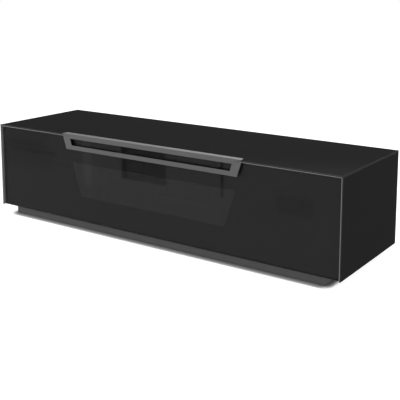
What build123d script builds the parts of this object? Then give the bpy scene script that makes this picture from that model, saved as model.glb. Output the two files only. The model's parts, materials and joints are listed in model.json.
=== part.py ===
"""Low media cabinet: a board carcass clad in black glass, on a recessed plinth, closed by one
full-width glass flap that drops forward on bottom hinges and is steadied by two damped stays.

Frame: origin on the floor at the middle of the cabinet, +X to the right seen from the front,
+Y to the back, +Z up. All sizes are in millimetres.
"""
import math
import os

from build123d import *

# ---------------------------------------------------------------- overall sizes
width = 1650.0           # over the side glass
depth = 500.0            # handle face to the back edge of the side glass
height = 400.0           # floor to the upper face of the top glass
base_height = 35.0       # floor to the underside of the body
plinth_front_recess = 25.0
plinth_side_recess = 70.0
plinth_back_recess = 30.0

# ---------------------------------------------------------------- materials' thicknesses
top_glass_t = 4.0
side_glass_t = 4.0
seam_t = 1.2             # strip that shows between top glass and side glass
board_t = 16.0
back_t = 8.0
shelf_t = 6.0
plinth_t = 12.0
glide_t = 2.0
trim_wall = 1.0          # wall of the angle trim round the opening
trim_face = 2.2          # visible face of that trim at the sides
trim_face_top = 2.2      # and under the top glass
arris = 0.6              # ground edge of the glass

# ---------------------------------------------------------------- flap
door_recess = 8.5        # flap glass behind the front of the trim
door_gap = 2.5           # flap to trim, all round
door_glass_t = 5.0
bond_t = 0.2             # adhesive between the flap glass and the backing sheet
mask_t = 1.3             # black backing sheet behind the flap glass
rail_t = 8.5             # depth of the rails behind the backing sheet
top_rail_w = 49.5
stile_w = 40.0
bottom_rail_w = 24.0
glass_lip = 1.5          # lip of the bottom rail under the flap glass
carcass_gap = 2.0        # flap rails to the front of the boards

# window in the backing sheet: a trapezoid whose sides go on down from the handle's sides
window_top_z = 283.0
window_bottom_z = 141.0
side_slope = 0.3225      # sideways run of the slanted sides for each millimetre of height
window_half_top = 401.5

# ---------------------------------------------------------------- handle
handle_proud = 3.5       # handle face in front of the trim
handle_t = 2.5
handle_top_z = 405.0
handle_bottom_z = 340.0
handle_half_top = 438.5
handle_lip = 24.5        # depth of the lip that reaches back over the top glass
slot_top_z = 385.5
slot_bottom_z = 357.5
slot_half_top = 396.5
spacer_r = 6.0
screw_hole_r = 3.0       # clear holes through the glass and the backing sheet
handle_fixings = [(-410.0, 371.0), (-140.0, 348.7), (140.0, 348.7), (410.0, 371.0)]

# ---------------------------------------------------------------- hinges and stays
pin_r = 2.0
running = 0.05           # radial clearance of a turning fit
corner_r = 4.5           # hinge axis to the back and to the bottom of the bottom rail
hinge_x = [-700.0, -240.0, 240.0, 700.0]
knuckle_r = 3.6
knuckle_len = 20.0
leaf_w = 44.0
leaf_t = 1.5
pin_len = 60.0
stay_arm_y = 14.0        # hinge axis to the stay's pivot on the flap
stay_arm_z = 90.0
stay_base_y = 120.0      # hinge axis to the damper's shaft
stay_base_z = 30.0
bar_t = 4.0
bar_w = 10.0
eye_r = 7.0
stay_pin_r = 3.0
shaft_r = 4.0
damper_r = 18.0
damper_t = 10.0
free_pivot_play = 0.3    # play of the stay's pivot on the flap

# ---------------------------------------------------------------- inside
partition_x = 275.0      # middle of each partition
shelf_z = 205.0          # underside of the shelves
pin_hole_step = 32.0
port_r = 25.0            # clear bore of the cable grommets
grommet_flange_r = 36.0
port_z = 115.0
fit_gap = 1.5            # shelf ends to boards

# ---------------------------------------------------------------- derived places
half_w = width / 2
front_y = -depth / 2 + handle_proud
back_y = depth / 2
carcass_half = half_w - side_glass_t
trim_in = carcass_half - trim_wall
inner_half = carcass_half - board_t
top_board_z = height - top_glass_t
ceiling_z = top_board_z - board_t
floor_z = base_height + board_t
door_front_y = front_y + door_recess
door_glass_back = door_front_y + door_glass_t
mask_front = door_glass_back + bond_t
mask_back = mask_front + mask_t
door_back = mask_back + rail_t
carcass_front = door_back + carcass_gap
door_half = trim_in - door_gap
door_bottom = base_height + 2.0
door_top = top_board_z - trim_face_top - 3.0
axis_y = door_back - corner_r
axis_z = door_bottom + corner_r
back_panel_y = back_y - back_t - 2.0
window_half_bottom = window_half_top - side_slope * (window_top_z - window_bottom_z)
handle_face = -depth / 2
handle_back = handle_face + handle_t
damper_y = axis_y + stay_base_y
damper_z = axis_z + stay_base_z

parts = {}


def block(x0, x1, y0, y1, z0, z1):
    """Box between two corners."""
    box = Box(x1 - x0, y1 - y0, z1 - z0)
    return Pos((x0 + x1) / 2, (y0 + y1) / 2, (z0 + z1) / 2) * box


def rod_x(r, x0, x1, y, z):
    """Cylinder along X."""
    return Pos((x0 + x1) / 2, y, z) * Rot(0, 90, 0) * Cylinder(r, abs(x1 - x0))


def rod_y(r, y0, y1, x, z):
    """Cylinder along Y."""
    return Pos(x, (y0 + y1) / 2, z) * Rot(90, 0, 0) * Cylinder(r, abs(y1 - y0))


def rod_z(r, z0, z1, x, y):
    """Cylinder along Z."""
    return Pos(x, y, (z0 + z1) / 2) * Cylinder(r, abs(z1 - z0))


def cone_y(r0, r1, y0, y1, x, z):
    """Cone along Y, radius r0 at y0 and r1 at y1."""
    return Pos(x, (y0 + y1) / 2, z) * Rot(-90, 0, 0) * Cone(r0, r1, y1 - y0)


def plate_xz(points, y0, y1):
    """Flat plate from an outline in X and Z, between two Y values."""
    face = make_face(Polyline([(x, y0, z) for x, z in points], close=True))
    return extrude(face, amount=y1 - y0, dir=(0, 1, 0))


def plate_xy(points, z0, z1):
    """Flat plate from an outline in X and Y, between two Z values."""
    face = make_face(Polyline([(x, y, z0) for x, y in points], close=True))
    return extrude(face, amount=z1 - z0, dir=(0, 0, 1))


def trapezoid(half_top, z_top, z_bottom):
    """Outline with a level top and bottom and the slanted sides that handle and window share."""
    half_bottom = half_top - side_slope * (z_top - z_bottom)
    return [(-half_top, z_top), (half_top, z_top), (half_bottom, z_bottom), (-half_bottom, z_bottom)]


def mirrored(shape):
    """The same piece on the other side of the cabinet."""
    return mirror(shape, about=Plane.YZ)


def pair(name, right_shape):
    """Store a piece for both sides."""
    parts[name + "_right"] = right_shape
    parts[name + "_left"] = mirrored(right_shape)


def ground(shape, edges):
    """Ground arris on the chosen edges of a pane."""
    return chamfer(edges, arris)


# ---------------------------------------------------------------- glass cladding and trim
def top_glass():
    pane = block(-half_w, half_w, front_y, back_y, height - top_glass_t, height)
    rim = pane.edges().filter_by(lambda e: e.center().Z > height - 0.01)
    return ground(pane, rim)


def side_glass():
    pane = block(carcass_half, half_w, front_y + trim_wall, back_y, base_height, top_board_z - seam_t)
    rim = pane.edges().filter_by(lambda e: e.center().X > half_w - 0.01)
    return ground(pane, rim)


def front_trim_top():
    face = block(-carcass_half, carcass_half, front_y, front_y + trim_wall,
                 top_board_z - trim_face_top, top_board_z)
    leg = block(-carcass_half, carcass_half, front_y, carcass_front, top_board_z - trim_wall, top_board_z)
    return face + leg


def front_trim_side():
    z1 = top_board_z - trim_face_top
    face = block(trim_in, trim_in + trim_face, front_y, front_y + trim_wall, base_height, z1)
    leg = block(trim_in, carcass_half, front_y, carcass_front, base_height, z1)
    return face + leg


def cladding():
    parts["top_glass"] = top_glass()
    pair("side_glass", side_glass())
    pair("seam_strip", block(carcass_half, half_w - 0.4, front_y + trim_wall, back_y - 0.4,
                             top_board_z - seam_t, top_board_z))
    parts["front_trim_top"] = front_trim_top()
    pair("front_trim", front_trim_side())


# ---------------------------------------------------------------- carcass
def shelf_pin_places():
    """(x of the board face, way the pin points, y) of every shelf pin."""
    faces = [(-partition_x + board_t / 2, 1), (partition_x - board_t / 2, -1),
             (partition_x + board_t / 2, 1), (inner_half, -1),
             (-partition_x - board_t / 2, -1), (-inner_half, 1)]
    return [(x, way, y) for x, way in faces for y in (-150.0, 190.0)]


pin_in = 7.0             # shelf pin inside the board
pin_out = 8.0
shelf_pin_r = 2.5


def pin_holes(board):
    """Three heights of shelf pin holes in the faces of a board."""
    low, high = board.bounding_box().min.X, board.bounding_box().max.X
    for x, way, y in shelf_pin_places():
        if low - 0.1 < x < high + 0.1:
            for step in (-1, 0, 1):
                z = shelf_z - shelf_pin_r + step * pin_hole_step
                board -= rod_x(shelf_pin_r, x - way * pin_in, x, y, z)
    return board


def carcass():
    cams = cam_places()
    top = block(-carcass_half, carcass_half, carcass_front, back_y - 2, ceiling_z, top_board_z)
    bottom = block(-inner_half, inner_half, carcass_front, back_y - 2, base_height, floor_z)
    for x, y in cams:
        top -= cam(x, y, ceiling_z, 1)
        bottom -= cam(x, y, base_height, 1)
    for x in hinge_x:
        for screw in hinge_screw_set(x):
            bottom -= screw
    side = block(inner_half, carcass_half, carcass_front, back_y - 2, base_height, ceiling_z)
    side = pin_holes(side)
    for screw in damper_screw_set():
        side -= screw
    parts["top_board"] = top
    parts["bottom_board"] = bottom
    pair("side_board", side)
    notch = 60.0
    partition = block(partition_x - board_t / 2, partition_x + board_t / 2,
                      carcass_front + 6, back_panel_y, floor_z, ceiling_z)
    partition -= block(partition_x - board_t, partition_x + board_t,
                       back_panel_y - notch, back_panel_y + 1, floor_z - 1, floor_z + notch)
    pair("partition", pin_holes(partition))


cam_r = 7.5
cam_depth = 12.0


def cam_places():
    x = inner_half - 34.0
    return [(sx * x, y) for sx in (-1, 1) for y in (-170.0, 190.0)]


def cam(x, y, face_z, way):
    return rod_z(cam_r, face_z, face_z + way * cam_depth, x, y)


def cam_fittings():
    """Cam locks that draw the boards together, with a crosshead slot in each face."""
    locks = []
    for x, y in cam_places():
        for face in (ceiling_z, base_height):
            lock = cam(x, y, face, 1)
            lock -= block(x - 5, x + 5, y - 0.8, y + 0.8, face, face + 2)
            lock -= block(x - 0.8, x + 0.8, y - 5, y + 5, face, face + 2)
            locks.append(lock)
    return Compound(locks)


# ---------------------------------------------------------------- back
def port_x():
    return [-(partition_x + inner_half) / 2, 0.0, (partition_x + inner_half) / 2]


vent_z = [250.0, 268.0, 286.0, 304.0, 322.0]
vent_len = 260.0
vent_h = 6.0
back_screw_r = 1.75
back_screw_head = 3.5


def back_panel(x0, x1, x_port):
    panel = block(x0, x1, back_panel_y, back_panel_y + back_t, floor_z, ceiling_z)
    panel -= rod_y(port_r + 3, back_panel_y - 1, back_panel_y + back_t + 1, x_port, port_z)
    for z in vent_z:
        flat = vent_len - vent_h
        slot = block(x_port - flat / 2, x_port + flat / 2, back_panel_y - 1,
                     back_panel_y + back_t + 1, z - vent_h / 2, z + vent_h / 2)
        for sx in (-1, 1):
            slot += rod_y(vent_h / 2, back_panel_y - 1, back_panel_y + back_t + 1,
                          x_port + sx * flat / 2, z)
        panel -= slot
    return panel


def back_screws_at(x0, x1):
    return [back_screw(x, z) for x in (x0 + 7, x1 - 7) for z in (floor_z + 20, ceiling_z - 20)]


def back_screw(x, z):
    """Pan-head screw through a back panel."""
    y = back_panel_y + back_t
    shank = rod_y(back_screw_r, back_panel_y, y, x, z)
    head = rod_y(back_screw_head, y, y + 1.8, x, z)
    head -= block(x - 2.2, x + 2.2, y + 0.8, y + 2, z - 0.5, z + 0.5)
    head -= block(x - 0.5, x + 0.5, y + 0.8, y + 2, z - 2.2, z + 2.2)
    return shank + head


def grommet(x):
    """Cable grommet: a tube through the back panel with a flange outside."""
    ring = rod_y(port_r + 3, back_panel_y - 2, back_panel_y + back_t, x, port_z)
    ring += rod_y(grommet_flange_r, back_panel_y + back_t, back_panel_y + back_t + 2, x, port_z)
    return ring - rod_y(port_r, back_panel_y - 3, back_panel_y + back_t + 3, x, port_z)


def back():
    spans = {"left": (-inner_half, -partition_x), "centre": (-partition_x, partition_x),
             "right": (partition_x, inner_half)}
    screws = []
    for (side, (x0, x1)), x_port in zip(spans.items(), port_x()):
        panel = back_panel(x0, x1, x_port)
        for screw in back_screws_at(x0, x1):
            panel -= screw
            screws.append(screw)
        parts["back_panel_" + side] = panel
        parts["cable_grommet_" + side] = grommet(x_port)
    parts["back_screws"] = Compound(screws)


# ---------------------------------------------------------------- shelves
def shelf(x0, x1):
    pane = block(x0 + fit_gap, x1 - fit_gap, -180.0, 215.0, shelf_z, shelf_z + shelf_t)
    return ground(pane, pane.edges().filter_by(lambda e: e.center().Z > shelf_z + shelf_t - 0.01))


def shelves():
    edge = partition_x + board_t / 2
    parts["shelf_left"] = shelf(-inner_half, -edge)
    parts["shelf_centre"] = shelf(-partition_x + board_t / 2, partition_x - board_t / 2)
    parts["shelf_right"] = shelf(edge, inner_half)
    z = shelf_z - shelf_pin_r
    pins = [rod_x(shelf_pin_r, x - way * pin_in, x + way * pin_out, y, z) for x, way, y in shelf_pin_places()]
    parts["shelf_pins"] = Compound(pins)


# ---------------------------------------------------------------- plinth
def plinth():
    x1 = half_w - plinth_side_recess
    y0 = front_y + plinth_front_recess
    y1 = back_y - plinth_back_recess
    parts["plinth_front"] = block(-x1, x1, y0, y0 + plinth_t, glide_t, base_height)
    parts["plinth_back"] = block(-x1, x1, y1 - plinth_t, y1, glide_t, base_height)
    pair("plinth_side", block(x1 - plinth_t, x1, y0 + plinth_t, y1 - plinth_t, glide_t, base_height))
    pair("plinth_brace", block(245.0, 245.0 + plinth_t, y0 + plinth_t, y1 - plinth_t, glide_t, base_height))
    glides = []
    for x in (-x1 + 20, -251.0, 251.0, x1 - 20):
        for y in (y0 + plinth_t / 2, y1 - plinth_t / 2):
            pad = rod_z(5.5, 0, glide_t, x, y)
            glides.append(chamfer(pad.edges().filter_by(lambda e: e.center().Z < 0.01), 0.5))
    parts["floor_glides"] = Compound(glides)


# ---------------------------------------------------------------- hinges
def hinge_screw_set(x):
    """Two countersunk screws of one hinge bracket."""
    y = carcass_front - leaf_t
    screws = []
    for sx in (-16.0, 16.0):
        head = cone_y(2.9, 1.5, y, y + 1.4, x + sx, axis_z + 2)
        head -= block(x + sx - 1.8, x + sx + 1.8, y - 1, y + 0.6, axis_z + 1.6, axis_z + 2.4)
        screws.append(head + rod_y(1.5, y + 1.4, y + 14, x + sx, axis_z + 2))
    return screws


def hinge_bracket(x):
    """Leaf on the front edge of the bottom board, with the knuckle on the hinge axis."""
    leaf = block(x - leaf_w / 2, x + leaf_w / 2, carcass_front - leaf_t, carcass_front,
                 base_height + 1.5, floor_z - 0.5)
    arm = block(x - knuckle_len / 2, x + knuckle_len / 2, axis_y, carcass_front - leaf_t / 2,
                axis_z - 3, axis_z + 3)
    knuckle = rod_x(knuckle_r, x - knuckle_len / 2, x + knuckle_len / 2, axis_y, axis_z)
    bracket = leaf + arm + knuckle
    bracket -= rod_x(pin_r + running, x - knuckle_len, x + knuckle_len, axis_y, axis_z)
    for screw in hinge_screw_set(x):
        bracket -= screw
        bracket -= cone_y(2.9, 1.5, carcass_front - leaf_t, carcass_front - leaf_t + 1.4,
                          screw.bounding_box().center().X, axis_z + 2)
    return bracket


def hinges():
    parts["hinge_brackets"] = Compound([hinge_bracket(x) for x in hinge_x])
    parts["hinge_screws"] = Compound([s for x in hinge_x for s in hinge_screw_set(x)])
    pins = [rod_x(pin_r, x - pin_len / 2, x + pin_len / 2, axis_y, axis_z) for x in hinge_x]
    parts["hinge_pins"] = Compound(pins)


# ---------------------------------------------------------------- flap
def door_glass():
    z0 = door_bottom + glass_lip
    pane = block(-door_half, door_half, door_front_y, door_glass_back, z0, door_top)
    rim = pane.edges().filter_by(lambda e: e.center().Y < door_front_y + 0.01)
    pane = ground(pane, rim)
    for x, z in handle_fixings:
        pane -= rod_y(screw_hole_r, door_front_y - 1, door_glass_back + 1, x, z)
    return pane


def door_mask():
    z0 = door_bottom + glass_lip
    window = trapezoid(window_half_top, window_top_z, window_bottom_z)
    sheet = block(-door_half, door_half, mask_front, mask_back, z0, door_top)
    sheet -= plate_xz(window, mask_front - 1, mask_back + 1)
    for x, z in handle_fixings:
        sheet -= rod_y(screw_hole_r, mask_front - 1, mask_back + 1, x, z)
    return sheet


def door_rails():
    z_low = door_bottom + bottom_rail_w
    z_high = door_top - top_rail_w
    top = block(-door_half, door_half, mask_back, door_back, z_high, door_top)
    for x, z in handle_fixings:
        top -= rod_y(2.2, mask_back - 1, door_back + 1, x, z)
        top -= rod_y(4.3, door_back - 3, door_back + 1, x, z)
    parts["door_top_rail"] = top
    pair("door_stile", block(door_half - stile_w, door_half, mask_back, door_back, z_low, z_high))
    parts["door_bottom_rail"] = bottom_rail(z_low)


def bottom_rail(z_low):
    """Extruded rail with the hinge pin channel, a lip under the glass and gaps for the knuckles."""
    rail = block(-door_half, door_half, mask_back, door_back, door_bottom, z_low)
    corner = rail.edges().filter_by(Axis.X).sort_by(lambda e: e.center().Z - e.center().Y)[0]
    rail = fillet(corner, corner_r - 0.01)
    rail += block(-door_half, door_half, door_front_y, mask_back, door_bottom, door_bottom + glass_lip)
    rail -= rod_x(pin_r, -door_half - 1, door_half + 1, axis_y, axis_z)
    for x in hinge_x:
        half_gap = knuckle_len / 2 + 0.6
        rail -= block(x - half_gap, x + half_gap, mask_back, door_back + 1, door_bottom - 1, axis_z + 5.5)
    return rail


def flap():
    parts["door_glass"] = door_glass()
    parts["door_mask"] = door_mask()
    window = trapezoid(window_half_top, window_top_z, window_bottom_z)
    parts["window_film"] = plate_xz(window, mask_front, mask_back)
    door_rails()


# ---------------------------------------------------------------- handle
def handle():
    """Bent plate: a slotted face in front of the flap and a narrowing lip back over the top glass."""
    face = plate_xz(trapezoid(handle_half_top, handle_top_z, handle_bottom_z), handle_face, handle_back)
    face -= plate_xz(trapezoid(slot_half_top, slot_top_z, slot_bottom_z), handle_face - 1, handle_back + 1)
    front, rear = handle_face, handle_face + handle_lip
    half_front = handle_half_top - 1
    half_rear = half_front - side_slope * handle_lip
    outline = [(-half_front, front), (half_front, front), (half_rear, rear), (-half_rear, rear)]
    lip = plate_xy(outline, handle_top_z - handle_t, handle_top_z)
    plate = face + lip
    bend = plate.edges().filter_by(Axis.X).sort_by(lambda e: e.center().Z - e.center().Y)[-1]
    plate = fillet(bend, 1.0)
    for screw in handle_screw_set():
        plate -= screw
    return plate


def handle_screw_set():
    """Machine screws from behind the flap, through the spacers, into the handle plate."""
    screws = []
    for x, z in handle_fixings:
        shank = rod_y(2.0, handle_face + 1, door_back - 2.5, x, z)
        head = rod_y(4.0, door_back - 3, door_back - 0.3, x, z)
        head -= extrude(Plane((x, door_back - 0.3, z), z_dir=(0, 1, 0)) * RegularPolygon(1.5, 6), -1.6)
        screws.append(shank + head)
    return screws


def handle_set():
    parts["handle"] = handle()
    spacers = []
    for x, z in handle_fixings:
        spacers.append(rod_y(spacer_r, handle_back, door_front_y, x, z)
                       - rod_y(2.0, handle_back - 1, door_front_y + 1, x, z))
    parts["handle_spacers"] = Compound(spacers)
    parts["handle_screws"] = Compound(handle_screw_set())


# ---------------------------------------------------------------- catches and bumpers
catch_x = 330.0


def catches():
    body = block(catch_x - 22, catch_x + 22, carcass_front, carcass_front + 22, ceiling_z - 13, ceiling_z)
    poles = [block(catch_x + dx - 7, catch_x + dx + 7, carcass_front - 0.5, carcass_front + 8,
                   ceiling_z - 10, ceiling_z - 3) for dx in (-11, 11)]
    for pole in poles:
        body -= pole
    pair("catch_body", body)
    parts["catch_magnets"] = Compound(poles + [mirrored(p) for p in poles])
    strike = block(catch_x - 20, catch_x + 20, door_back, door_back + 1, ceiling_z - 12, ceiling_z - 1)
    parts["strike_plates"] = Compound([strike, mirrored(strike)])
    bumpers = []
    for x in (-600.0, -100.0, 100.0, 600.0):
        bumpers.append(rod_y(4.0, carcass_front - 1.6, carcass_front, x, ceiling_z + board_t / 2 - 4))
    parts["door_bumpers"] = Compound(bumpers)


# ---------------------------------------------------------------- damped stays
crank_x = (790.0, 794.0)  # the crank's plate, and the ear on the flap
link_x = (785.0, 789.0)
pin_end_x = 783.0


def bar_yz(y0, z0, y1, z1, x0, x1, w):
    """Flat bar with rounded ends between two pivots, in a plane of constant X."""
    length = math.hypot(y1 - y0, z1 - z0)
    angle = math.degrees(math.atan2(z1 - z0, y1 - y0))
    bar = Box(x1 - x0, length, w)
    bar = Pos((x0 + x1) / 2, (y0 + y1) / 2, (z0 + z1) / 2) * Rot(angle, 0, 0) * bar
    return bar + rod_x(eye_r, x0, x1, y0, z0) + rod_x(eye_r, x0, x1, y1, z1)


def damper_screw_set():
    return [rod_x(1.75, inner_half - 3, inner_half + 10, damper_y + dy, damper_z)
            + rod_x(3.2, inner_half - 5, inner_half - 3, damper_y + dy, damper_z) for dy in (-26, 26)]


def damper():
    """Rotary damper on the inside of the side board."""
    body = rod_x(damper_r, inner_half - damper_t, inner_half, damper_y, damper_z)
    rim = body.edges().filter_by(lambda e: e.center().X < inner_half - damper_t + 0.1)
    body = fillet(rim, 1.5)
    body += bar_yz(damper_y - 26, damper_z, damper_y + 26, damper_z, inner_half - 3, inner_half, 14.0)
    body -= rod_x(shaft_r + running, inner_half - damper_t - 1, inner_half - 2, damper_y, damper_z)
    for screw in damper_screw_set():
        body -= screw
    return body


def crank():
    """Crank on the damper's shaft; its pin carries the link."""
    y1, z1 = damper_y + stay_arm_y, damper_z + stay_arm_z
    arm = bar_yz(damper_y, damper_z, y1, z1, *crank_x, bar_w)
    arm += rod_x(shaft_r, crank_x[0], inner_half - 3, damper_y, damper_z)
    arm += rod_x(stay_pin_r, pin_end_x, crank_x[0] + 1, y1, z1)
    return arm


def link():
    """Link between the flap's pivot and the crank's pin."""
    y0, z0 = axis_y + stay_arm_y, axis_z + stay_arm_z
    y1, z1 = y0 + stay_base_y, z0 + stay_base_z
    bar = bar_yz(y0, z0, y1, z1, *link_x, bar_w)
    bar -= rod_x(stay_pin_r + free_pivot_play, link_x[0] - 1, link_x[1] + 1, y0, z0)
    bar -= rod_x(stay_pin_r + running, link_x[0] - 1, link_x[1] + 1, y1, z1)
    return bar


def stay_bracket():
    """Foot on the flap's stile with an ear and the pivot pin of the link."""
    y0, z0 = axis_y + stay_arm_y, axis_z + stay_arm_z
    foot = block(782, 802, door_back, door_back + 1.5, z0 - 20, z0 + 20)
    ear = block(crank_x[0], crank_x[1], door_back, y0, z0 - 7, z0 + 7)
    ear += rod_x(eye_r, *crank_x, y0, z0)
    pin = rod_x(stay_pin_r, pin_end_x, crank_x[0] + 1, y0, z0)
    return foot + ear + pin


def stays():
    pair("stay_damper", damper())
    screws = damper_screw_set()
    parts["damper_screws"] = Compound(screws + [mirrored(s) for s in screws])
    pair("stay_crank", crank())
    pair("stay_link", link())
    pair("stay_bracket", stay_bracket())


def main():
    cladding()
    carcass()
    parts["cam_fittings"] = cam_fittings()
    back()
    shelves()
    plinth()
    hinges()
    flap()
    handle_set()
    catches()
    stays()
    os.makedirs("parts", exist_ok=True)
    for name, shape in parts.items():
        export_step(shape, f"parts/{name}.step")
    print(len(parts), "nodes")


main()
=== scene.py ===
import json
import math

import bmesh
import bpy
from mathutils import Matrix, Vector


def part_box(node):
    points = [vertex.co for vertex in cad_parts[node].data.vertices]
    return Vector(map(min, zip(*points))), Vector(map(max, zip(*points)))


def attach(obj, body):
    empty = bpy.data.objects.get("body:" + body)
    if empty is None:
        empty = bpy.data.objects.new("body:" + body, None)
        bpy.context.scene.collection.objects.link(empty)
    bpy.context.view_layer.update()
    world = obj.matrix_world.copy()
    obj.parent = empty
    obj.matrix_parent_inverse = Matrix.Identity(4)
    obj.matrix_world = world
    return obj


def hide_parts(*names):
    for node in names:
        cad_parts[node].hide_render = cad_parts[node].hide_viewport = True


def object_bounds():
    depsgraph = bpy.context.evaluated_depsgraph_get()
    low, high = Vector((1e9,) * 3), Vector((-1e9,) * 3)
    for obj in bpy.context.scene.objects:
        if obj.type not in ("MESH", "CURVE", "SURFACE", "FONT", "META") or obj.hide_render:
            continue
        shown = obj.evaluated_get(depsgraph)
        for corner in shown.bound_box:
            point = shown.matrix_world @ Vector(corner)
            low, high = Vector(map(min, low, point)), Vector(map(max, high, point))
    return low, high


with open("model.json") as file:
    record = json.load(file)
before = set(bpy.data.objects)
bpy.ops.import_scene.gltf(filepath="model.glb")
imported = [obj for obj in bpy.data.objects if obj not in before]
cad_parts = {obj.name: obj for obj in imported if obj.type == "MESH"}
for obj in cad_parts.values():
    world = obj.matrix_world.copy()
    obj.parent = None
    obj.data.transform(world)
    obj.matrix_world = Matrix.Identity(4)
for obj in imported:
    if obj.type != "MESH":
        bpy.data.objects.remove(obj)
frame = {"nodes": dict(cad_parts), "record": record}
cadLow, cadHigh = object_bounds()
print("frame loaded:", len(frame["nodes"]), "nodes")

mm = 0.001
bodyOfNode = {n: b for b, members in frame["record"]["behaviour"]["bodies"].items() for n in members}
slotOfNode = {s["node"]: s["material_slot"] for s in frame["record"]["subparts"]}


# the studio round the cabinet
studio = {
    "page": 1.0,            # what the camera sees where nothing is
    "fill": 0.95,           # soft light from all round, on matt surfaces
    "glossLow": 0.022,      # what the gloss mirrors near the horizon, behind the cabinet
    "glossFront": 0.33,     # and in front of it
    "glossHigh": 1.5,       # and overhead
    "glossRise": (0.22, 0.95),   # heights of the sky between which it brightens
    "glossTurn": 0.25,      # how far in front and behind the horizon changes over
    "floorTone": 0.34,      # matt share of the floor
    "floorGlow": 0.9,       # glowing share, keeps the floor pale; dimmed near pieces as painted contact shadow
    "floorInGloss": 0.34,   # how bright the floor is in reflections
    "paintedShadowReach": 0.034,  # width of the painted contact shadow where a piece meets the floor
    "paintedShadowDepth": 11.0,   # and how dark that painted shadow gets
    "floorSize": 14.0,
}

softboxes = {
    "overhead": {"place": (0.2, 0.9, 2.7), "aim": (0.0, 0.0, 0.2), "size": (3.4, 2.0), "power": 66.0},
    "left": {"place": (-2.6, -2.0, 1.6), "aim": (-0.2, 0.0, 0.25), "size": (1.6, 1.6), "power": 24.0},
    "right": {"place": (2.9, -0.6, 1.7), "aim": (0.4, 0.0, 0.2), "size": (1.4, 1.4), "power": 4.0},
}

# plain cards on the floor that only the gloss mirrors
# a fanned card's sides run straight away from the mirrored eye, so they look upright in the front glass
cards = {
    "right": {"left": 0.84, "right": 2.6, "near": -0.6, "far": 2.6, "tone": 0.035, "fan": False},
    "left": {"left": -2.8, "right": -1.2, "near": -0.9, "far": -2.4, "tone": 0.29, "fan": True},
    "block": {"left": -0.741, "right": -0.486, "near": -1.0, "far": -1.8, "tone": 0.12, "fan": True},
    "blockEdge": {"left": -0.779, "right": -0.741, "near": -1.0, "far": -1.8, "tone": 0.02, "fan": True},
    "paleStrip": {"left": -0.865, "right": -0.807, "near": -0.8, "far": -1.8, "tone": 0.46, "fan": True},
    "post": {"left": -0.157, "right": -0.142, "near": -1.0, "far": -1.8, "tone": 0.02, "fan": True},
    "chest": {"left": 0.2, "right": 0.382, "near": -0.915, "far": -1.18, "tone": 0.27, "fan": True},
    "farRail": {"left": -1.97, "right": -1.65, "near": -1.29, "far": -1.4, "tone": 0.2, "fan": True},
    "middleRail": {"left": -1.8, "right": -1.42, "near": -1.16, "far": -1.25, "tone": 0.2, "fan": True},
    "nearRail": {"left": -1.42, "right": -1.18, "near": -1.02, "far": -1.06, "tone": 0.25, "fan": True},
}
cardHeight = 0.001
cardStep = 0.0002       # each card lies this much above the one before

viewpoint = {
    "place": (1.882, -2.6, 1.0364),
    "turn": 35.134,         # degrees left of straight at the front
    "down": 8.605,          # degrees below level
    "lens": 71.6,
    "shift": (0.0169, -0.25),
}


def makeCamera():
    data = bpy.data.cameras.new("camera")
    data.lens = viewpoint["lens"]
    data.sensor_width = 36.0
    data.shift_x, data.shift_y = viewpoint["shift"]
    data.clip_start, data.clip_end = 0.05, 50.0
    cam = bpy.data.objects.new("camera", data)
    cam.location = viewpoint["place"]
    cam.rotation_euler = (math.radians(90 - viewpoint["down"]), 0, math.radians(viewpoint["turn"]))
    bpy.context.scene.collection.objects.link(cam)
    bpy.context.scene.camera = cam


def makeWorld():
    world = bpy.data.worlds.new("studio")
    bpy.context.scene.world = world
    world.use_nodes = True
    nodes, links = world.node_tree.nodes, world.node_tree.links
    back = nodes["Background"]
    path = nodes.new("ShaderNodeLightPath")
    where = nodes.new("ShaderNodeTexCoord")
    split = nodes.new("ShaderNodeSeparateXYZ")
    links.new(where.outputs["Generated"], split.inputs[0])
    sky = nodes.new("ShaderNodeMapRange")      # brighter overhead than at the horizon
    sky.inputs["From Min"].default_value, sky.inputs["From Max"].default_value = studio["glossRise"]
    sky.inputs["To Max"].default_value = studio["glossHigh"]
    links.new(split.outputs["Z"], sky.inputs["Value"])
    level = nodes.new("ShaderNodeMapRange")    # and brighter in front than behind
    level.inputs["From Min"].default_value = -studio["glossTurn"]
    level.inputs["From Max"].default_value = studio["glossTurn"]
    level.inputs["To Min"].default_value = studio["glossFront"]
    level.inputs["To Max"].default_value = studio["glossLow"]
    links.new(split.outputs["Y"], level.inputs["Value"])
    links.new(level.outputs[0], sky.inputs["To Min"])
    gloss = nodes.new("ShaderNodeMix")
    gloss.inputs["A"].default_value = studio["fill"]
    links.new(path.outputs["Is Glossy Ray"], gloss.inputs["Factor"])
    links.new(sky.outputs[0], gloss.inputs["B"])
    seen = nodes.new("ShaderNodeMix")
    seen.inputs["B"].default_value = studio["page"]
    links.new(path.outputs["Is Camera Ray"], seen.inputs["Factor"])
    links.new(gloss.outputs[0], seen.inputs["A"])
    links.new(seen.outputs[0], back.inputs["Strength"])
    back.inputs["Color"].default_value = (1, 1, 1, 1)


def emptyMaterial(name):
    made = bpy.data.materials.new(name)
    made.use_nodes = True
    made.node_tree.nodes.remove(made.node_tree.nodes["Principled BSDF"])
    return made, made.node_tree


def flatSheet(name, corners, paint):
    mesh = bpy.data.meshes.new(name)
    mesh.from_pydata(corners, [], [(0, 1, 2, 3)])
    mesh.materials.append(paint)
    sheet = bpy.data.objects.new(name, mesh)
    bpy.context.scene.collection.objects.link(sheet)
    return sheet


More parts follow.
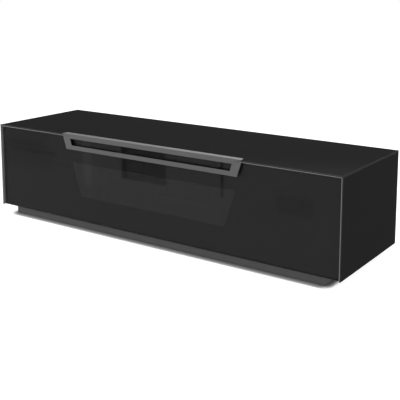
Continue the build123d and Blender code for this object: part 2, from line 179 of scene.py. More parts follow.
def makeFloor():
    paint, tree = emptyMaterial("paleFloor")
    nodes, links = tree.nodes, tree.links
    matt = nodes.new("ShaderNodeBsdfDiffuse")
    matt.inputs["Color"].default_value = (studio["floorTone"],) * 3 + (1,)
    glow = nodes.new("ShaderNodeEmission")
    # painted contact shadow: ambient occlusion dims the floor's glow close to a piece
    contact = nodes.new("ShaderNodeAmbientOcclusion")
    contact.inputs["Distance"].default_value = studio["paintedShadowReach"]
    deepened = nodes.new("ShaderNodeMath")
    deepened.operation = "POWER"
    deepened.inputs[1].default_value = studio["paintedShadowDepth"]
    level = nodes.new("ShaderNodeMath")
    level.operation = "MULTIPLY"
    level.inputs[1].default_value = studio["floorGlow"]
    links.new(contact.outputs["AO"], deepened.inputs[0])
    links.new(deepened.outputs[0], level.inputs[0])
    links.new(level.outputs[0], glow.inputs["Strength"])
    both = nodes.new("ShaderNodeAddShader")
    dim = nodes.new("ShaderNodeEmission")
    dim.inputs["Strength"].default_value = studio["floorInGloss"]
    path = nodes.new("ShaderNodeLightPath")
    pick = nodes.new("ShaderNodeMixShader")
    links.new(matt.outputs[0], both.inputs[0])
    links.new(glow.outputs[0], both.inputs[1])
    links.new(path.outputs["Is Glossy Ray"], pick.inputs[0])
    links.new(both.outputs[0], pick.inputs[1])
    links.new(dim.outputs[0], pick.inputs[2])
    links.new(pick.outputs[0], nodes["Material Output"].inputs["Surface"])
    half = studio["floorSize"] / 2
    corners = [(-half, -half, 0), (half, -half, 0), (half, half, 0), (-half, half, 0)]
    flatSheet("floor", corners, paint)


def cardCorners(card, height):
    # the eye that a fan runs from is the viewpoint mirrored in the cabinet's front
    near, far = card["near"], card["far"]
    ends = [card["left"], card["right"]]
    if card["fan"]:
        eyeX, eyeY = viewpoint["place"][0], 2 * cadLow.y - viewpoint["place"][1]
        ends = [eyeX + (x - eyeX) * (far - eyeY) / (near - eyeY) for x in ends]
    return [(card["left"], near, height), (card["right"], near, height), (ends[1], far, height),
            (ends[0], far, height)]


def makeCard(name, card, height):
    paint, tree = emptyMaterial(name + "Tone")
    even = tree.nodes.new("ShaderNodeEmission")
    even.inputs["Strength"].default_value = card["tone"]
    tree.links.new(even.outputs[0], tree.nodes["Material Output"].inputs["Surface"])
    sheet = flatSheet(name, cardCorners(card, height), paint)
    for kind in ("camera", "diffuse", "transmission", "shadow"):
        setattr(sheet, "visible_" + kind, False)


def makeSoftbox(name, box):
    data = bpy.data.lights.new(name, "AREA")
    data.shape = "RECTANGLE"
    data.size, data.size_y = box["size"]
    data.energy = box["power"]
    lamp = bpy.data.objects.new(name, data)
    lamp.location = box["place"]
    lamp.rotation_euler = (Vector(box["aim"]) - Vector(box["place"])).to_track_quat("-Z", "Y").to_euler()
    bpy.context.scene.collection.objects.link(lamp)


bpy.context.scene.view_settings.view_transform = "Standard"
makeCamera()
makeWorld()
makeFloor()
for boxName, box in softboxes.items():
    makeSoftbox(boxName, box)
for cardLayer, (cardName, card) in enumerate(cards.items()):
    makeCard(cardName + "Card", card, cardHeight + cardStep * cardLayer)
print("studio ready")


# effects that several materials share

def newEffect(name, inputs, outputs):
    tree = bpy.data.node_groups.new(name, "ShaderNodeTree")
    for label, value in inputs.items():
        kind = "NodeSocketVector" if isinstance(value, tuple) else "NodeSocketFloat"
        socket = tree.interface.new_socket(label, in_out="INPUT", socket_type=kind)
        socket.default_value = value
    for label in outputs:
        tree.interface.new_socket(label, in_out="OUTPUT", socket_type="NodeSocketFloat")
    start = tree.nodes.new("NodeGroupInput")
    end = tree.nodes.new("NodeGroupOutput")
    return tree, start, end


def mathNode(tree, how, first, second=None, third=None):
    node = tree.nodes.new("ShaderNodeMath")
    node.operation = how
    for i, value in enumerate((first, second, third)):
        if value is None:
            continue
        if isinstance(value, (int, float)):
            node.inputs[i].default_value = value
        else:
            tree.links.new(value, node.inputs[i])
    return node.outputs[0]


def noiseNode(tree, vector, scale, detail=2.0, rough=0.5):
    node = tree.nodes.new("ShaderNodeTexNoise")
    node.inputs["Detail"].default_value = detail
    node.inputs["Roughness"].default_value = rough
    tree.links.new(vector, node.inputs["Vector"])
    if isinstance(scale, (int, float)):
        node.inputs["Scale"].default_value = scale
    else:
        tree.links.new(scale, node.inputs["Scale"])
    return node.outputs["Fac"]


def objectPlace(tree):
    return tree.nodes.new("ShaderNodeTexCoord").outputs["Object"]


def makeGrain():
    # long fine lines along one direction, as brushing leaves them
    tree, start, end = newEffect("brushedLines", {"Stretch": (8.0, 1400.0, 1400.0), "Depth": 1.0},
                                 ("Height", "Tone"))
    scaled = tree.nodes.new("ShaderNodeVectorMath")
    scaled.operation = "MULTIPLY"
    tree.links.new(objectPlace(tree), scaled.inputs[0])
    tree.links.new(start.outputs["Stretch"], scaled.inputs[1])
    lines = noiseNode(tree, scaled.outputs[0], 1.0, 3.0, 0.65)
    tree.links.new(mathNode(tree, "MULTIPLY", lines, start.outputs["Depth"]), end.inputs["Height"])
    spread = mathNode(tree, "SUBTRACT", lines, 0.5)
    tree.links.new(mathNode(tree, "MULTIPLY_ADD", spread, start.outputs["Depth"], 1.0), end.inputs["Tone"])
    return tree


dust = {
    "fineness": 420.0,      # specks to the metre
    "speck": 0.09,          # size of one, as a share of the room it has
    "patches": 37.0,
    "rarity": 0.56,         # more means fewer specks
}


def makeHandling():
    # cloudy marks of wiping and touch, with sparse fine dust on top
    tree, start, end = newEffect("handling", {"Size": 9.0, "Smear": 0.05, "Dust": 0.5},
                                 ("Gloss Loss", "Dust"))
    place = objectPlace(tree)
    cloud = noiseNode(tree, place, start.outputs["Size"], 4.0, 0.62)
    cloud = mathNode(tree, "POWER", cloud, 2.2)
    tree.links.new(mathNode(tree, "MULTIPLY", cloud, start.outputs["Smear"]), end.inputs["Gloss Loss"])
    specks = tree.nodes.new("ShaderNodeTexVoronoi")
    specks.inputs["Scale"].default_value = dust["fineness"]
    tree.links.new(place, specks.inputs["Vector"])
    near = mathNode(tree, "LESS_THAN", specks.outputs["Distance"], dust["speck"])
    rare = mathNode(tree, "GREATER_THAN", noiseNode(tree, place, dust["patches"], 1.0), dust["rarity"])
    spot = mathNode(tree, "MULTIPLY", near, rare)
    tree.links.new(mathNode(tree, "MULTIPLY", spot, start.outputs["Dust"]), end.inputs["Dust"])
    return tree


pebble = {"patches": 14.0, "fineTone": 0.35, "patchTone": 0.25}     # tones are how much lighter and darker


def makePores():
    # shallow pebbled surface of laminate, lacquer and moulded plastic
    tree, start, end = newEffect("pebble", {"Size": 900.0, "Depth": 1.0}, ("Height", "Tone"))
    place = objectPlace(tree)
    small = noiseNode(tree, place, start.outputs["Size"], 2.0, 0.6)
    wide = noiseNode(tree, place, pebble["patches"], 3.0, 0.5)
    tree.links.new(mathNode(tree, "MULTIPLY", small, start.outputs["Depth"]), end.inputs["Height"])
    fine = mathNode(tree, "MULTIPLY_ADD", mathNode(tree, "SUBTRACT", small, 0.5), pebble["fineTone"], 1.0)
    patchy = mathNode(tree, "SUBTRACT", wide, 0.5)
    tree.links.new(mathNode(tree, "MULTIPLY_ADD", patchy, pebble["patchTone"], fine), end.inputs["Tone"])
    return tree


effects = {"lines": makeGrain(), "handling": makeHandling(), "pebble": makePores()}
print("shared effects ready")


# materials, each made from its values in finishes

def startMaterial(name, values):
    made = bpy.data.materials.new(name)
    made.use_nodes = True
    tree = made.node_tree
    shader = tree.nodes["Principled BSDF"]
    shader.inputs["Metallic"].default_value = values.get("metal", 0.0)
    shader.inputs["IOR"].default_value = values.get("bend", 1.45)
    shader.inputs["Specular IOR Level"].default_value = values.get("shine", 0.5)
    shader.inputs["Coat Weight"].default_value = values.get("coat", 0.0)
    shader.inputs["Coat Roughness"].default_value = values.get("coatRough", 0.05)
    shader.inputs["Coat IOR"].default_value = values.get("coatBend", 1.5)
    shader.inputs["Alpha"].default_value = values.get("solid", 1.0)
    return made, tree, shader


def useEffect(tree, key, **values):
    node = tree.nodes.new("ShaderNodeGroup")
    node.node_tree = effects[key]
    for label, value in values.items():
        node.inputs[label].default_value = value
    return node


def toneColour(tree, colour, tone):
    # the plain colour made a little lighter and darker over the surface
    mix = tree.nodes.new("ShaderNodeVectorMath")
    mix.operation = "SCALE"
    mix.inputs[0].default_value = colour
    tree.links.new(tone, mix.inputs["Scale"])
    return mix.outputs[0]


def bumpFrom(tree, height, distance, strength=1.0):
    bump = tree.nodes.new("ShaderNodeBump")
    bump.inputs["Distance"].default_value = distance
    bump.inputs["Strength"].default_value = strength
    tree.links.new(height, bump.inputs["Height"])
    return bump.outputs["Normal"]


def slantedFaces(tree):
    # one where a face lies between the object's axes, as a ground edge does, nought on the flat faces
    facing = tree.nodes.new("ShaderNodeTexCoord").outputs["Normal"]
    squared = tree.nodes.new("ShaderNodeVectorMath")
    squared.operation = "MULTIPLY"
    for i in (0, 1):
        tree.links.new(facing, squared.inputs[i])
    parts = tree.nodes.new("ShaderNodeSeparateXYZ")
    tree.links.new(squared.outputs[0], parts.inputs[0])
    largest = mathNode(tree, "MAXIMUM", parts.outputs["X"], parts.outputs["Y"])
    largest = mathNode(tree, "MAXIMUM", largest, parts.outputs["Z"])
    return mathNode(tree, "LESS_THAN", largest, groundFrom)


def glossSheet(name, values):
    # glass with black paint behind it, backing sheets and gloss plastic
    made, tree, shader = startMaterial(name, values)
    marks = useEffect(tree, "handling", Size=values["markSize"], Smear=values["smear"], Dust=values["dust"])
    rough = mathNode(tree, "ADD", marks.outputs["Gloss Loss"], values["rough"])
    rough = mathNode(tree, "MULTIPLY_ADD", marks.outputs["Dust"], dullBy, rough)
    tone = mathNode(tree, "MULTIPLY_ADD", marks.outputs["Dust"], values["dustTone"], 1.0)
    if "groundEdge" in values:
        edge = slantedFaces(tree)
        tone = mathNode(tree, "MULTIPLY_ADD", edge, values["groundEdge"], tone)
        rough = mathNode(tree, "MULTIPLY_ADD", edge, dullBy, rough)
    tree.links.new(rough, shader.inputs["Roughness"])
    tree.links.new(toneColour(tree, values["colour"], tone), shader.inputs["Base Color"])
    return made


def clearSheet(name, values):
    # a thin see-through pane: a mirror share by angle, the rest goes through with a tint
    made, tree = emptyMaterial(name)
    marks = useEffect(tree, "handling", Size=values["markSize"], Smear=values["smear"], Dust=values["dust"])
    through = tree.nodes.new("ShaderNodeBsdfTransparent")
    through.inputs["Color"].default_value = (*values["tint"], 1)
    mirror = tree.nodes.new("ShaderNodeBsdfPrincipled")
    mirror.inputs["Metallic"].default_value = 1.0
    mirror.inputs["Base Color"].default_value = (0.96, 0.96, 0.97, 1)
    rough = mathNode(tree, "ADD", marks.outputs["Gloss Loss"], values["rough"])
    tree.links.new(rough, mirror.inputs["Roughness"])
    slant = tree.nodes.new("ShaderNodeLayerWeight")
    slant.inputs["Blend"].default_value = 0.5
    straight = ((values["bend"] - 1) / (values["bend"] + 1)) ** 2
    share = mathNode(tree, "POWER", slant.outputs["Facing"], 5.0)
    share = mathNode(tree, "MULTIPLY_ADD", share, 1 - straight, straight)
    mix = tree.nodes.new("ShaderNodeMixShader")
    tree.links.new(share, mix.inputs[0])
    tree.links.new(through.outputs[0], mix.inputs[1])
    tree.links.new(mirror.outputs[0], mix.inputs[2])
    tree.links.new(mix.outputs[0], tree.nodes["Material Output"].inputs["Surface"])
    return made


def brushedMetal(name, values):
    made, tree, shader = startMaterial(name, values)
    lines = useEffect(tree, "lines", Stretch=values["stretch"], Depth=values["lineDepth"])
    marks = useEffect(tree, "handling", Size=values["markSize"], Smear=values["smear"], Dust=0.0)
    tree.links.new(toneColour(tree, values["colour"], lines.outputs["Tone"]), shader.inputs["Base Color"])
    rough = mathNode(tree, "MULTIPLY_ADD", lines.outputs["Height"], 0.12, values["rough"])
    tree.links.new(mathNode(tree, "ADD", rough, marks.outputs["Gloss Loss"]), shader.inputs["Roughness"])
    tree.links.new(bumpFrom(tree, lines.outputs["Height"], values["relief"], 0.5), shader.inputs["Normal"])
    return made


def pebbled(name, values):
    # laminate, lacquer, plastic, rubber and felt
    made, tree, shader = startMaterial(name, values)
    skin = useEffect(tree, "pebble", Size=values["grain"], Depth=1.0)
    tree.links.new(toneColour(tree, values["colour"], skin.outputs["Tone"]), shader.inputs["Base Color"])
    rough = mathNode(tree, "MULTIPLY_ADD", mathNode(tree, "SUBTRACT", skin.outputs["Tone"], 1.0), 0.4,
                     values["rough"])
    tree.links.new(rough, shader.inputs["Roughness"])
    tree.links.new(bumpFrom(tree, skin.outputs["Height"], values["relief"], 0.6), shader.inputs["Normal"])
    return made


def grey(level, warm=0.0):
    return (level * (1 + warm), level, level * (1 - warm))


# stretch of the brushed lines along each direction
alongX = (8.0, 1600.0, 1600.0)
alongY = (1600.0, 8.0, 1600.0)
alongZ = (1600.0, 1600.0, 8.0)
dullBy = 0.4            # roughness that dust and a ground edge add to gloss
groundFrom = 0.9        # a face whose squared direction stays under this on every axis is a ground edge

finishes = {
    "black_glass": (glossSheet, {"colour": grey(0.0125), "rough": 0.03, "bend": 1.4, "markSize": 7.0,
                                 "smear": 0.05, "dust": 1.0, "dustTone": 5.0, "groundEdge": 3.5}),
    "smoked_glass": (clearSheet, {"tint": (0.86, 0.86, 0.87), "rough": 0.015, "bend": 1.4, "markSize": 8.0,
                                  "smear": 0.04, "dust": 0.0}),
    "shelf_glass": (clearSheet, {"tint": (0.66, 0.69, 0.69), "rough": 0.01, "bend": 1.5, "markSize": 8.0,
                                 "smear": 0.03, "dust": 0.0}),
    "black_backing": (glossSheet, {"colour": grey(0.014), "rough": 0.45, "shine": 0.1, "markSize": 12.0,
                                   "smear": 0.1, "dust": 0.0, "dustTone": 0.0}),
    "smoked_film": (glossSheet, {"colour": grey(0.029), "rough": 0.4, "shine": 0.2, "solid": 0.82,
                                 "markSize": 10.0, "smear": 0.1, "dust": 0.0, "dustTone": 0.0}),
    "satin_aluminium": (brushedMetal, {"colour": grey(0.28), "metal": 0.5, "rough": 0.4, "stretch": alongX,
                                       "lineDepth": 0.5, "relief": 0.00002, "markSize": 20.0, "smear": 0.1}),
    "handle_aluminium": (brushedMetal, {"colour": grey(0.195), "metal": 0.75, "rough": 0.42,
                                        "stretch": alongX, "lineDepth": 0.55, "relief": 0.00003,
                                        "markSize": 12.0, "smear": 0.12}),
    "dark_anodised": (brushedMetal, {"colour": grey(0.04), "metal": 0.8, "rough": 0.4, "stretch": alongX,
                                     "lineDepth": 0.4, "relief": 0.00002, "markSize": 14.0, "smear": 0.1}),
    "bright_steel": (brushedMetal, {"colour": grey(0.58, 0.01), "metal": 1.0, "rough": 0.28,
                                    "stretch": alongY, "lineDepth": 0.35, "relief": 0.00002,
                                    "markSize": 30.0, "smear": 0.15}),
    "zinc_casting": (pebbled, {"colour": grey(0.42), "metal": 1.0, "rough": 0.45, "grain": 1500.0,
                               "relief": 0.00006}),
    "dark_steel": (brushedMetal, {"colour": grey(0.24), "metal": 1.0, "rough": 0.3, "stretch": alongZ,
                                  "lineDepth": 0.3, "relief": 0.00002, "markSize": 30.0, "smear": 0.1}),
    "black_steel": (pebbled, {"colour": grey(0.03), "metal": 0.9, "rough": 0.4, "grain": 2400.0,
                              "relief": 0.00003}),
    "black_board": (pebbled, {"colour": grey(0.045), "rough": 0.55, "grain": 1300.0, "relief": 0.00006,
                              "shine": 0.4}),
    "graphite_lacquer": (pebbled, {"colour": grey(0.095), "metal": 0.35, "rough": 0.42, "grain": 3200.0,
                                   "relief": 0.00002, "coat": 0.15, "coatRough": 0.25}),
    "black_plastic": (pebbled, {"colour": grey(0.022), "rough": 0.5, "grain": 1800.0, "relief": 0.00008}),
    "black_sealant": (pebbled, {"colour": grey(0.012), "rough": 0.6, "grain": 900.0, "relief": 0.00005}),
    "glide_felt": (pebbled, {"colour": grey(0.06), "rough": 0.9, "grain": 700.0, "relief": 0.0002}),
    "clear_rubber": (glossSheet, {"colour": grey(0.55), "rough": 0.2, "solid": 0.55, "markSize": 60.0,
                                  "smear": 0.1, "dust": 0.0, "dustTone": 0.0}),
}

materials = {slot: make(slot, values) for slot, (make, values) in finishes.items()}
print("materials ready:", len(materials))


# rounding of each piece's edges, in millimetres
softening = {
    "top_glass": 0.25, "side_glass": 0.25, "front_trim": 0.2,
    "top_board": 0.5, "bottom_board": 0.5, "side_board": 0.5, "partition": 0.5,
    "cable_grommet": 0.5, "shelf_left": 0.3, "shelf_centre": 0.3, "shelf_right": 0.3,
    "plinth": 0.8, "hinge_brackets": 0.25, "door_glass": 0.2, "door_top_rail": 0.4,
    "door_bottom_rail": 0.3, "door_stile": 0.4, "handle_spacers": 0.3, "catch_body": 0.5,
    "strike_plates": 0.25, "stay_damper": 0.4, "stay_crank": 0.4, "stay_link": 0.4, "stay_bracket": 0.3,
}
# pieces with round surfaces, which are shaded smooth
roundNodes = ("cable_grommet", "catch_magnets", "damper_screws", "handle_s", "hinge_", "strike_plates",
              "stay_")
sharpFrom = math.radians(32)


def meshOfNode(node):
    # the CAD mesh is loose triangles, so its copy is joined up
    shape = bmesh.new()
    shape.from_mesh(frame["nodes"][node].data)
    bmesh.ops.remove_doubles(shape, verts=shape.verts, dist=0.00002)
    mesh = bpy.data.meshes.new(node + "_piece")
    shape.to_mesh(mesh)
    shape.free()
    return mesh


def shadeByAngle(mesh, angle=sharpFrom):
    mesh.shade_smooth()
    mesh.set_sharp_from_angle(angle=angle)


def addPiece(name, mesh, slot, body, replaced=()):
    piece = bpy.data.objects.new(name, mesh)
    bpy.context.scene.collection.objects.link(piece)
    mesh.materials.clear()
    mesh.materials.append(materials[slot])
    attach(piece, body)
    if replaced:
        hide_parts(*replaced)
    return piece


def roundEdges(piece, width, segments=2):
    bevel = piece.modifiers.new("roundEdges", "BEVEL")
    bevel.width = width
    bevel.segments = segments
    bevel.limit_method = "ANGLE"
    bevel.angle_limit = sharpFrom
    bevel.harden_normals = piece.name.startswith(roundNodes)


def finishNode(node, width):
    mesh = meshOfNode(node)
    if node.startswith(roundNodes):
        shadeByAngle(mesh)
    else:
        mesh.shade_flat()
    piece = addPiece(node + "_piece", mesh, slotOfNode[node], bodyOfNode[node], (node,))
    if width:
        roundEdges(piece, width * mm)


# node trees that grow repeated pieces from points

def newGrowth(name, inputs):
    tree = bpy.data.node_groups.new(name, "GeometryNodeTree")
    tree.interface.new_socket("Geometry", in_out="INPUT", socket_type="NodeSocketGeometry")
    for label, (kind, value) in inputs.items():
        socket = tree.interface.new_socket(label, in_out="INPUT", socket_type="NodeSocket" + kind)
        if value is not None:
            socket.default_value = value
    tree.interface.new_socket("Geometry", in_out="OUTPUT", socket_type="NodeSocketGeometry")
    start = tree.nodes.new("NodeGroupInput")
    end = tree.nodes.new("NodeGroupOutput")
    return tree, start, end


def feed(tree, node, **values):
    # plain numbers are set, and sockets are linked
    for label, value in values.items():
        socket = node.inputs[label.replace("_", " ")]
        if isinstance(value, bpy.types.NodeSocket):
            tree.links.new(value, socket)
        else:
            socket.default_value = value
    return node


def joined(tree, *parts):
    join = tree.nodes.new("GeometryNodeJoinGeometry")
    for part in reversed(parts):
        tree.links.new(part, join.inputs[0])
    return join.outputs[0]


def cutAway(tree, solid, *tools):
    cut = tree.nodes.new("GeometryNodeMeshBoolean")
    cut.operation = "DIFFERENCE"
    cut.solver = "EXACT"
    tree.links.new(solid, cut.inputs["Mesh 1"])
    for tool in tools:
        tree.links.new(tool, cut.inputs["Mesh 2"])
    return cut.outputs[0]


def vectorOf(tree, x=0.0, y=0.0, z=0.0):
    node = tree.nodes.new("ShaderNodeCombineXYZ")
    feed(tree, node, X=x, Y=y, Z=z)
    return node.outputs[0]


def movedUp(tree, shape, height):
    move = tree.nodes.new("GeometryNodeTransform")
    tree.links.new(shape, move.inputs["Geometry"])
    tree.links.new(vectorOf(tree, z=height), move.inputs["Translation"])
    return move.outputs[0]


def finishGrowth(tree, end, shape, finish):
    real = tree.nodes.new("GeometryNodeRealizeInstances")
    paint = tree.nodes.new("GeometryNodeSetMaterial")
    tree.links.new(shape, real.inputs[0])
    tree.links.new(real.outputs[0], paint.inputs["Geometry"])
    tree.links.new(finish, paint.inputs["Material"])
    tree.links.new(paint.outputs[0], end.inputs[0])


def onPoints(tree, points, shape):
    # each copy turns its own Z to the point's "aim"
    aim = tree.nodes.new("GeometryNodeInputNamedAttribute")
    aim.data_type = "FLOAT_VECTOR"
    aim.inputs["Name"].default_value = "aim"
    turn = tree.nodes.new("FunctionNodeAlignRotationToVector")
    turn.axis = "Z"
    tree.links.new(aim.outputs["Attribute"], turn.inputs["Vector"])
    place = tree.nodes.new("GeometryNodeInstanceOnPoints")
    tree.links.new(points, place.inputs["Points"])
    tree.links.new(shape, place.inputs["Instance"])
    tree.links.new(turn.outputs[0], place.inputs["Rotation"])
    return place.outputs[0]


def makeStudTree():
    # a round head with a cross cut in it, on a shank: screws, cam locks, glides, bumpers and pins
    tree, start, end = newGrowth("roundStuds", {
        "Head Radius": ("Float", 3.5 * mm), "Top Radius": ("Float", 2.6 * mm),
        "Head Height": ("Float", 1.8 * mm), "Shank Radius": ("Float", 1.75 * mm),
        "Shank Length": ("Float", 8.0 * mm), "Cross Length": ("Float", 4.4 * mm),
        "Cross Width": ("Float", 1.0 * mm), "Cross Depth": ("Float", 1.0 * mm), "Finish": ("Material", None)})
    size = start.outputs
    head = tree.nodes.new("GeometryNodeMeshCone")
    feed(tree, head, Vertices=28, Radius_Top=size["Top Radius"], Radius_Bottom=size["Head Radius"],
         Depth=size["Head Height"])
    low = mathNode(tree, "SUBTRACT", size["Head Height"], size["Cross Depth"])
    tall = mathNode(tree, "MULTIPLY", size["Cross Depth"], 2.0)
    bars = []
    for x, y in ((size["Cross Length"], size["Cross Width"]), (size["Cross Width"], size["Cross Length"])):
        bar = tree.nodes.new("GeometryNodeMeshCube")
        tree.links.new(vectorOf(tree, x, y, tall), bar.inputs["Size"])
        middle = mathNode(tree, "ADD", low, size["Cross Depth"])
        bars.append(movedUp(tree, bar.outputs[0], middle))
    cut = cutAway(tree, head.outputs[0], *bars)
    shank = tree.nodes.new("GeometryNodeMeshCylinder")
    feed(tree, shank, Vertices=16, Radius=size["Shank Radius"], Depth=size["Shank Length"])
    down = mathNode(tree, "MULTIPLY", size["Shank Length"], -0.5)
    whole = joined(tree, cut, movedUp(tree, shank.outputs[0], down))
    finishGrowth(tree, end, onPoints(tree, start.outputs["Geometry"], whole), size["Finish"])
    return tree


def makeRibTree():
    # short ribs round a housing, each along the housing's axis
    tree, start, end = newGrowth("housingRibs", {
        "Radius": ("Float", 18.0 * mm), "Count": ("Int", 30), "Length": ("Float", 6.0 * mm),
        "Width": ("Float", 1.2 * mm), "Lift": ("Float", 0.0), "Finish": ("Material", None)})
    size = start.outputs
    ring = tree.nodes.new("GeometryNodeMeshCircle")
    feed(tree, ring, Vertices=size["Count"], Radius=size["Radius"])
    rib = tree.nodes.new("GeometryNodeMeshCube")
    tree.links.new(vectorOf(tree, size["Width"], size["Width"], size["Length"]), rib.inputs["Size"])
    place = tree.nodes.new("GeometryNodeInstanceOnPoints")
    out = tree.nodes.new("FunctionNodeAlignRotationToVector")
    out.axis = "X"
    here = tree.nodes.new("GeometryNodeInputPosition")
    tree.links.new(here.outputs[0], out.inputs["Vector"])
    tree.links.new(ring.outputs[0], place.inputs["Points"])
    tree.links.new(rib.outputs[0], place.inputs["Instance"])
    tree.links.new(out.outputs[0], place.inputs["Rotation"])
    wheel = movedUp(tree, place.outputs[0], size["Lift"])
    finishGrowth(tree, end, onPoints(tree, start.outputs["Geometry"], wheel), size["Finish"])
    return tree


def pointsMesh(name, places):
    mesh = bpy.data.meshes.new(name)
    mesh.from_pydata([p for p, aim in places], [], [])
    aims = mesh.attributes.new("aim", "FLOAT_VECTOR", "POINT")
    for i, (place, aim) in enumerate(places):
        aims.data[i].vector = aim
    return mesh


def grow(name, tree, places, values, slot, body, replaced=(), smooth=True):
    seed = bpy.data.objects.new(name + "Seed", pointsMesh(name + "Seed", places))
    bpy.context.scene.collection.objects.link(seed)
    grower = seed.modifiers.new("grow", "NODES")
    grower.node_group = tree
    ids = {s.name: s.identifier for s in tree.interface.items_tree if s.in_out == "INPUT"}
    for label, value in values.items():
        grower[ids[label]] = value
    grower[ids["Finish"]] = materials[slot]
    view = bpy.context.evaluated_depsgraph_get()
    mesh = bpy.data.meshes.new_from_object(seed.evaluated_get(view), depsgraph=view)
    mesh.name = name
    seed.modifiers.remove(grower)
    bpy.data.objects.remove(seed)
    if smooth:
        shadeByAngle(mesh, math.radians(30))
    return addPiece(name, mesh, slot, body, replaced)


studTree = makeStudTree()
ribTree = makeRibTree()


# places worked out from the frame

def boardFaces():
    # (x of the face, way its pin points), for every face that carries shelf pins
    left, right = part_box("partition_left"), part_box("partition_right")
    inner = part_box("side_board_right")[0].x
    return [(left[1].x, 1), (right[0].x, -1), (right[1].x, 1), (inner, -1), (left[0].x, -1), (-inner, 1)]


def pinPlaces(pin):
    low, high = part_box("shelf_pins")
    radius = (high.z - low.z) / 2
    height = (low.z + high.z) / 2
    rows = (low.y + radius, high.y - radius)
    return [((x + way * pin["proud"], y, height), (way, 0, 0)) for x, way in boardFaces() for y in rows]


def backScrewPlaces(screw):
    places = []
    for side in ("left", "centre", "right"):
        low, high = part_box("back_panel_" + side)
        for x in (low.x + screw["inset"], high.x - screw["inset"]):
            for z in (low.z + screw["fromEdge"], high.z - screw["fromEdge"]):
                places.append(((x, high.y, z), (0, 1, 0)))
    return places


def camPlaces(cam):
    low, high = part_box("cam_fittings")
    xs = (low.x + cam["radius"], high.x - cam["radius"])
    ys = (low.y + cam["radius"], high.y - cam["radius"])
    faces = (low.z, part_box("top_board")[0].z)
    return [((x, y, z + cam["sunk"]), (0, 0, -1)) for x in xs for y in ys for z in faces]


def glidePlaces(glide):
    low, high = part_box("floor_glides")
    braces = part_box("plinth_brace_right")
    xs = (low.x + glide["radius"], -(braces[0].x + braces[1].x) / 2, (braces[0].x + braces[1].x) / 2,
          high.x - glide["radius"])
    ys = (low.y + glide["radius"], high.y - glide["radius"])
    return [((x, y, high.z), (0, 0, -1)) for x in xs for y in ys]


def bumperPlaces(bumper):
    low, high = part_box("door_bumpers")
    reach = high.x - bumper["radius"]
    return [((x, high.y, (low.z + high.z) / 2), (0, -1, 0)) for x in (-reach, -reach / 6, reach / 6, reach)]


handle = {
    "slope": 0.3225,         # sideways run of the slanted ends for each unit of height
    "thickness": 2.5 * mm,
    "slotTop": 19.5 * mm,    # bar above the slot
    "slotHeight": 28.0 * mm,
    "slotHalfTop": 396.5 * mm,
    "edge": 0.25 * mm,       # rounding of the plate's edges
    "lipShort": 1.0 * mm,    # the lip stops this much inside the face's ends
}


def makeHandleTree():
    # face with slanted ends and a slot to match, and a lip turned back along its top edge
    tree, start, end = newGrowth("slottedPlate", {
        "Top Width": ("Float", 877.0 * mm), "Height": ("Float", 65.0 * mm), "Slope": ("Float", 0.32),
        "Slot Width": ("Float", 793.0 * mm), "Slot Height": ("Float", 28.0 * mm),
        "Slot Top": ("Float", 19.5 * mm), "Thickness": ("Float", 2.5 * mm), "Lip Depth": ("Float", 24.5 * mm),
        "Lip Width": ("Float", 875.0 * mm), "Finish": ("Material", None)})
    size = start.outputs

    def outline(width, height, drop):
        four = tree.nodes.new("GeometryNodeCurvePrimitiveQuadrilateral")
        four.mode = "TRAPEZOID"
        run = mathNode(tree, "MULTIPLY", mathNode(tree, "MULTIPLY", height, size["Slope"]), 2.0)
        feed(tree, four, Top_Width=width, Bottom_Width=mathNode(tree, "SUBTRACT", width, run), Height=height,
             Offset=0.0)
        down = mathNode(tree, "MULTIPLY_ADD", height, 0.5, drop)
        move = tree.nodes.new("GeometryNodeTransform")
        tree.links.new(four.outputs[0], move.inputs["Geometry"])
        tree.links.new(vectorOf(tree, y=mathNode(tree, "MULTIPLY", down, -1.0)), move.inputs["Translation"])
        fill = tree.nodes.new("GeometryNodeFillCurve")
        fill.mode = "NGONS"
        tree.links.new(move.outputs[0], fill.inputs["Curve"])
        return fill.outputs[0]

    def thick(sheet, amount):
        push = tree.nodes.new("GeometryNodeExtrudeMesh")
        feed(tree, push, Individual=False, Offset_Scale=amount)
        tree.links.new(sheet, push.inputs["Mesh"])
        turned = tree.nodes.new("GeometryNodeFlipFaces")
        tree.links.new(sheet, turned.inputs["Mesh"])
        shut = tree.nodes.new("GeometryNodeMergeByDistance")
        tree.links.new(joined(tree, push.outputs["Mesh"], turned.outputs[0]), shut.inputs["Geometry"])
        return shut.outputs[0]

    face = thick(outline(size["Top Width"], size["Height"], 0.0), size["Thickness"])
    deep = mathNode(tree, "MULTIPLY", size["Thickness"], 3.0)
    slot = thick(outline(size["Slot Width"], size["Slot Height"], size["Slot Top"]), deep)
    under = movedUp(tree, slot, mathNode(tree, "MULTIPLY", size["Thickness"], -1.0))
    pierced = cutAway(tree, face, under)
    lip = thick(outline(size["Lip Width"], size["Lip Depth"], 0.0), size["Thickness"])
    back = tree.nodes.new("GeometryNodeTransform")
    feed(tree, back, Rotation=(math.pi / 2, 0, 0))
    tree.links.new(lip, back.inputs["Geometry"])
    tree.links.new(vectorOf(tree, z=size["Thickness"]), back.inputs["Translation"])
    union = tree.nodes.new("GeometryNodeMeshBoolean")
    union.operation = "UNION"
    union.solver = "EXACT"
    tree.links.new(pierced, union.inputs["Mesh 2"])
    tree.links.new(back.outputs[0], union.inputs["Mesh 2"])
    finishGrowth(tree, end, union.outputs[0], size["Finish"])
    return tree


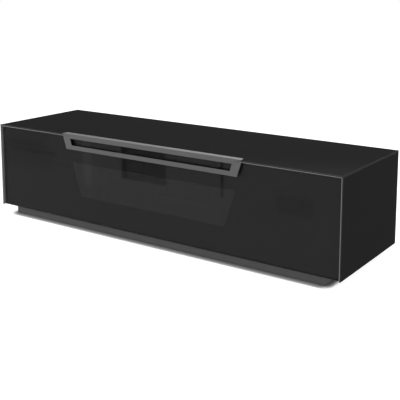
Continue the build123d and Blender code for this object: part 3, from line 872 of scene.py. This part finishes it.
def makeHandle():
    low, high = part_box("handle")
    piece = grow("handle_plate", makeHandleTree(), [((0, 0, 0), (0, 0, 1))], {
        "Top Width": high.x - low.x, "Height": high.z - low.z, "Slope": handle["slope"],
        "Slot Width": 2 * handle["slotHalfTop"], "Slot Height": handle["slotHeight"],
        "Slot Top": handle["slotTop"], "Thickness": handle["thickness"], "Lip Depth": high.y - low.y,
        "Lip Width": high.x - low.x - 2 * handle["lipShort"]},
        "handle_aluminium", "flap", ("handle",))
    # drawn flat, the plate's own Z is its face, so it is stood up to face forward with its top edge on top
    upright = Matrix.Rotation(math.pi / 2, 4, "X")
    piece.data.transform(Matrix.Translation((0, low.y + handle["thickness"], high.z)) @ upright)
    shadeByAngle(piece.data)
    roundEdges(piece, handle["edge"], 3)


# small fixings
backScrew = {"inset": 7.0 * mm, "fromEdge": 20.0 * mm}
shelfPin = {"proud": 0.8 * mm, "radius": 2.5 * mm, "length": 8.0 * mm, "inside": 7.0 * mm, "taper": 0.4 * mm}
camLock = {"radius": 7.5 * mm, "sunk": 1.4 * mm, "taper": 0.3 * mm, "length": 9.5 * mm,
           "cross": (10.0 * mm, 1.6 * mm, 1.2 * mm)}
glidePad = {"radius": 5.5 * mm, "height": 2.0 * mm, "taper": 0.5 * mm, "stem": (2.0 * mm, 3.0 * mm)}
bumperDome = {"radius": 4.0 * mm, "height": 1.6 * mm, "topShare": 0.6, "stem": (1.0 * mm, 1.0 * mm)}
damperRib = {"count": 36, "length": 4.0 * mm, "width": 1.0 * mm, "sunk": 0.5 * mm, "lift": 4.6 * mm}
noCross = (0.2 * mm, 0.2 * mm, 0.05 * mm)      # too small to see, on studs that have no cross


def studSizes(head, top, height, shank, cross):
    sizes = {"Head Radius": head, "Top Radius": top, "Head Height": height}
    sizes["Shank Radius"], sizes["Shank Length"] = shank
    sizes["Cross Length"], sizes["Cross Width"], sizes["Cross Depth"] = cross
    return sizes


def makeStuds():
    lock, glide, dome, pin = camLock, glidePad, bumperDome, shelfPin
    grow("back_screws_set", studTree, backScrewPlaces(backScrew), {},
         "black_steel", "cabinet", ("back_screws",))
    grow("cam_locks", studTree, camPlaces(lock),
         studSizes(lock["radius"], lock["radius"] - lock["taper"], lock["sunk"],
                   (lock["radius"] - 0.5 * mm, lock["length"]), lock["cross"]),
         "zinc_casting", "cabinet", ("cam_fittings",))
    grow("glide_pads", studTree, glidePlaces(glide),
         studSizes(glide["radius"], glide["radius"] - glide["taper"], glide["height"],
                   glide["stem"], noCross),
         "glide_felt", "cabinet", ("floor_glides",))
    grow("bumper_domes", studTree, bumperPlaces(dome),
         studSizes(dome["radius"], dome["radius"] * dome["topShare"], dome["height"], dome["stem"], noCross),
         "clear_rubber", "cabinet", ("door_bumpers",))
    grow("shelf_pin_set", studTree, pinPlaces(pin),
         studSizes(pin["radius"], pin["radius"] - pin["taper"], pin["length"] - pin["proud"],
                   (pin["radius"], pin["inside"]), noCross),
         "bright_steel", "cabinet", ("shelf_pins",))


def makeDamperRibs():
    for side, way in (("left", -1), ("right", 1)):
        low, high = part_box("stay_damper_" + side)
        inner = high.x if way < 0 else low.x
        middle = ((low.y + high.y) / 2, (low.z + high.z) / 2)
        radius = (high.z - low.z) / 2
        grow("damper_ribs_" + side, ribTree, [((inner, *middle), (way, 0, 0))], {
            "Radius": radius - damperRib["sunk"], "Count": damperRib["count"],
            "Length": damperRib["length"], "Width": damperRib["width"], "Lift": damperRib["lift"]},
            "black_plastic", "cabinet", smooth=False)


def widthFor(node):
    fits = [key for key in softening if node.startswith(key)]
    return softening[max(fits, key=len)] if fits else None


# nodes that the grown pieces stand in for
grownNodes = {"handle", "back_screws", "cam_fittings", "floor_glides", "door_bumpers", "shelf_pins"}

makeHandle()
print("handle made")
makeStuds()
makeDamperRibs()
print("fixings made")
for node in sorted(frame["nodes"]):
    if node not in grownNodes:
        finishNode(node, widthFor(node))
print("boards, glass and fittings finished")
